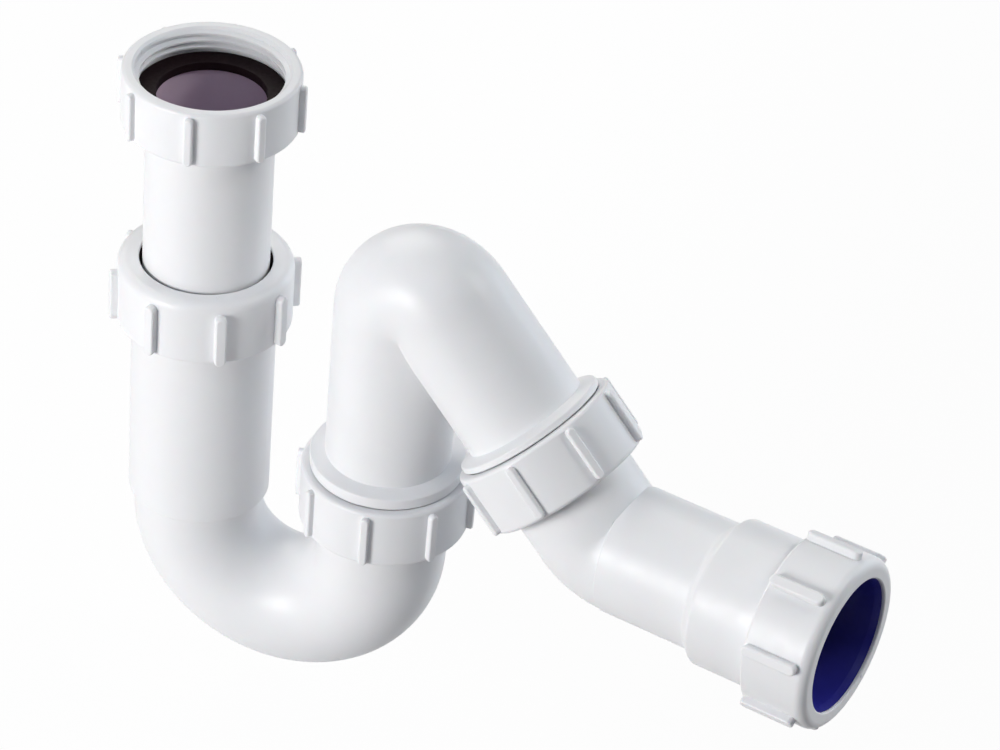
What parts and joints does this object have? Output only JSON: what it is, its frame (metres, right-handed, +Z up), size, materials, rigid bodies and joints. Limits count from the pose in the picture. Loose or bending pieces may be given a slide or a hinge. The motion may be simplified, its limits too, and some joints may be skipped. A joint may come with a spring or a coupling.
{
  "type": "waste trap",
  "caption": "Telescopic swivel P-trap: threaded inlet nut and washer, sliding inlet tube, U-bend, inverted swivel bend and an elbow with a compression nut for a waste pipe.",
  "frame": {"origin": "centre of the inlet washer's sealing face, where the thread of the inlet nut ends", "axes": "+Z up the inlet axis, +X from the inlet leg towards the rising leg of the U-bend, which lies in the XZ plane"},
  "size_m": [0.2672, 0.0931, 0.2208],
  "materials": {
    "white_plastic": "satin-gloss moulded polypropylene",
    "dark_rubber": "matt black rubber with a purple cast",
    "blue_rubber": "blue rubber, slight sheen"
  },
  "bodies": {
    "inlet_nut": {"inlet_nut": "white_plastic", "inlet_washer": "dark_rubber"},
    "inlet_tube": {"inlet_tube": "white_plastic"},
    "trap_body": {"inlet_leg": "white_plastic", "u_bend": "white_plastic", "adjuster_seal": "dark_rubber", "trap_seal": "dark_rubber"},
    "adjuster_nut": {"adjuster_nut": "white_plastic"},
    "trap_nut": {"trap_nut": "white_plastic"},
    "swivel_bend": {"swivel_bend": "white_plastic"},
    "outlet_elbow": {"outlet_bend": "white_plastic", "outlet_socket": "white_plastic", "outlet_seal": "blue_rubber", "elbow_seal": "dark_rubber"},
    "elbow_nut": {"elbow_nut": "white_plastic"},
    "outlet_nut": {"outlet_nut": "white_plastic"}
  },
  "joints": [
    {"name": "inlet_turn", "type": "hinge", "parent": "inlet_nut", "child": "inlet_tube", "pos_m": [0, 0, 0], "axis": [0, 0, 1], "continuous": true},
    {"name": "telescope", "type": "slide", "parent": "inlet_tube", "child": "trap_body", "axis": [0, 0, 1], "range_m": [-0.015, 0.048]},
    {"name": "adjuster_nut_turn", "type": "hinge", "parent": "trap_body", "child": "adjuster_nut", "pos_m": [0, 0, -0.0614], "axis": [0, 0, 1], "range_deg": [0, 540]},
    {"name": "trap_nut_turn", "type": "hinge", "parent": "trap_body", "child": "trap_nut", "pos_m": [0.066, 0, -0.1229], "axis": [0, 0, -1], "range_deg": [0, 540]},
    {"name": "swivel_turn", "type": "hinge", "parent": "trap_body", "child": "swivel_bend", "pos_m": [0.066, 0, -0.1229], "axis": [0, 0, 1], "range_deg": [-105, 122]},
    {"name": "elbow_turn", "type": "hinge", "parent": "swivel_bend", "child": "outlet_elbow", "pos_m": [0.11593, -0.00844, -0.08638], "axis": [0.6972, -0.1179, -0.7071], "continuous": true},
    {"name": "elbow_nut_turn", "type": "hinge", "parent": "outlet_elbow", "child": "elbow_nut", "pos_m": [0.11593, -0.00844, -0.08638], "axis": [0.6972, -0.1179, -0.7071], "range_deg": [0, 540]},
    {"name": "outlet_nut_turn", "type": "hinge", "parent": "outlet_elbow", "child": "outlet_nut", "pos_m": [0.23047, -0.03423, -0.1141], "axis": [0.9706, -0.2381, 0.0358], "range_deg": [0, 540]}
  ]
}
